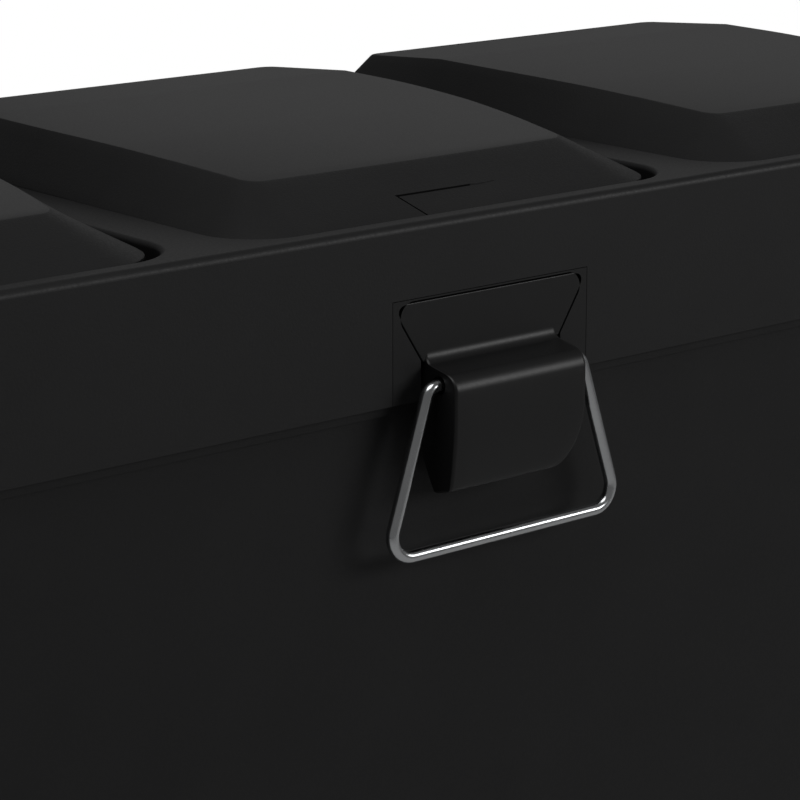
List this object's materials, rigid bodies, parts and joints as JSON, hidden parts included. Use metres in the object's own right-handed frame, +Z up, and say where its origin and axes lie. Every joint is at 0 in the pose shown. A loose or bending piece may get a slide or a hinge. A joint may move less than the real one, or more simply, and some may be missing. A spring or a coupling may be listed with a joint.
{
  "type": "recycling bin",
  "caption": "Free-standing sorting bin: a tub with lift-out buckets, a rear-hinged top frame with lids, and a front rocker latch with a wire bail.",
  "frame": {"origin": "middle of the footprint's bounding box, on the floor", "axes": "+Z up, the front with the latch faces -Y, +X to the right seen from the front, along the row of lids"},
  "size_m": [0.73, 0.3194, 0.4904],
  "materials": {
    "tub_plastic": "satin",
    "frame_plastic": "satin",
    "lid_plastic": "textured",
    "latch_plastic": "semi-gloss",
    "housing_plastic": "satin",
    "bucket_plastic": "satin",
    "rubber": "matte",
    "chrome_wire": "polished",
    "zinc_steel": "zinc plated",
    "pin_steel": "drawn"
  },
  "bodies": {
    "tub_body": {"tub": "tub_plastic", "rubber_feet": "rubber", "foot_screws": "zinc_steel", "bucket_left": "bucket_plastic", "bucket_middle": "bucket_plastic", "bucket_right": "bucket_plastic", "latch_keeper": "housing_plastic", "keeper_screws": "zinc_steel", "hinge_bracket_left": "housing_plastic", "hinge_bracket_right": "housing_plastic", "bracket_screws": "zinc_steel", "frame_pin_left": "pin_steel", "frame_pin_right": "pin_steel"},
    "frame_body": {"top_frame": "frame_plastic", "lid_bumpers": "rubber", "latch_housing": "housing_plastic", "housing_screws": "zinc_steel", "lever_pin": "pin_steel", "lever_spring": "pin_steel", "lid_pin_left": "pin_steel", "lid_pin_middle": "pin_steel", "lid_pin_right": "pin_steel"},
    "lid_left_body": {"lid_left": "lid_plastic"},
    "lid_middle_body": {"lid_middle": "lid_plastic"},
    "lid_right_body": {"lid_right": "lid_plastic"},
    "lever_body": {"latch_lever": "latch_plastic"},
    "bail_body": {"wire_bail": "chrome_wire"}
  },
  "joints": [
    {"name": "frame_hinge", "type": "hinge", "parent": "tub_body", "child": "frame_body", "pos_m": [0, 0.15375, 0.398], "axis": [-1, 0, 0], "range_deg": [0, 75]},
    {"name": "lid_left_hinge", "type": "hinge", "parent": "frame_body", "child": "lid_left_body", "pos_m": [-0.24, 0.13775, 0.4755], "axis": [-1, 0, 0], "range_deg": [0, 95]},
    {"name": "lid_middle_hinge", "type": "hinge", "parent": "frame_body", "child": "lid_middle_body", "pos_m": [0, 0.13775, 0.4755], "axis": [-1, 0, 0], "range_deg": [0, 95]},
    {"name": "lid_right_hinge", "type": "hinge", "parent": "frame_body", "child": "lid_right_body", "pos_m": [0.24, 0.13775, 0.4755], "axis": [-1, 0, 0], "range_deg": [0, 95]},
    {"name": "lever_pivot", "type": "hinge", "parent": "frame_body", "child": "lever_body", "pos_m": [0, -0.13525, 0.424], "axis": [-1, 0, 0], "range_deg": [0, 18], "stiffness_Nm_per_rad": 0.4, "springref_deg": -8.59},
    {"name": "bail_swing", "type": "hinge", "parent": "lever_body", "child": "bail_body", "pos_m": [0, -0.15025, 0.41], "axis": [-1, 0, 0], "range_deg": [-6, 150]}
  ]
}
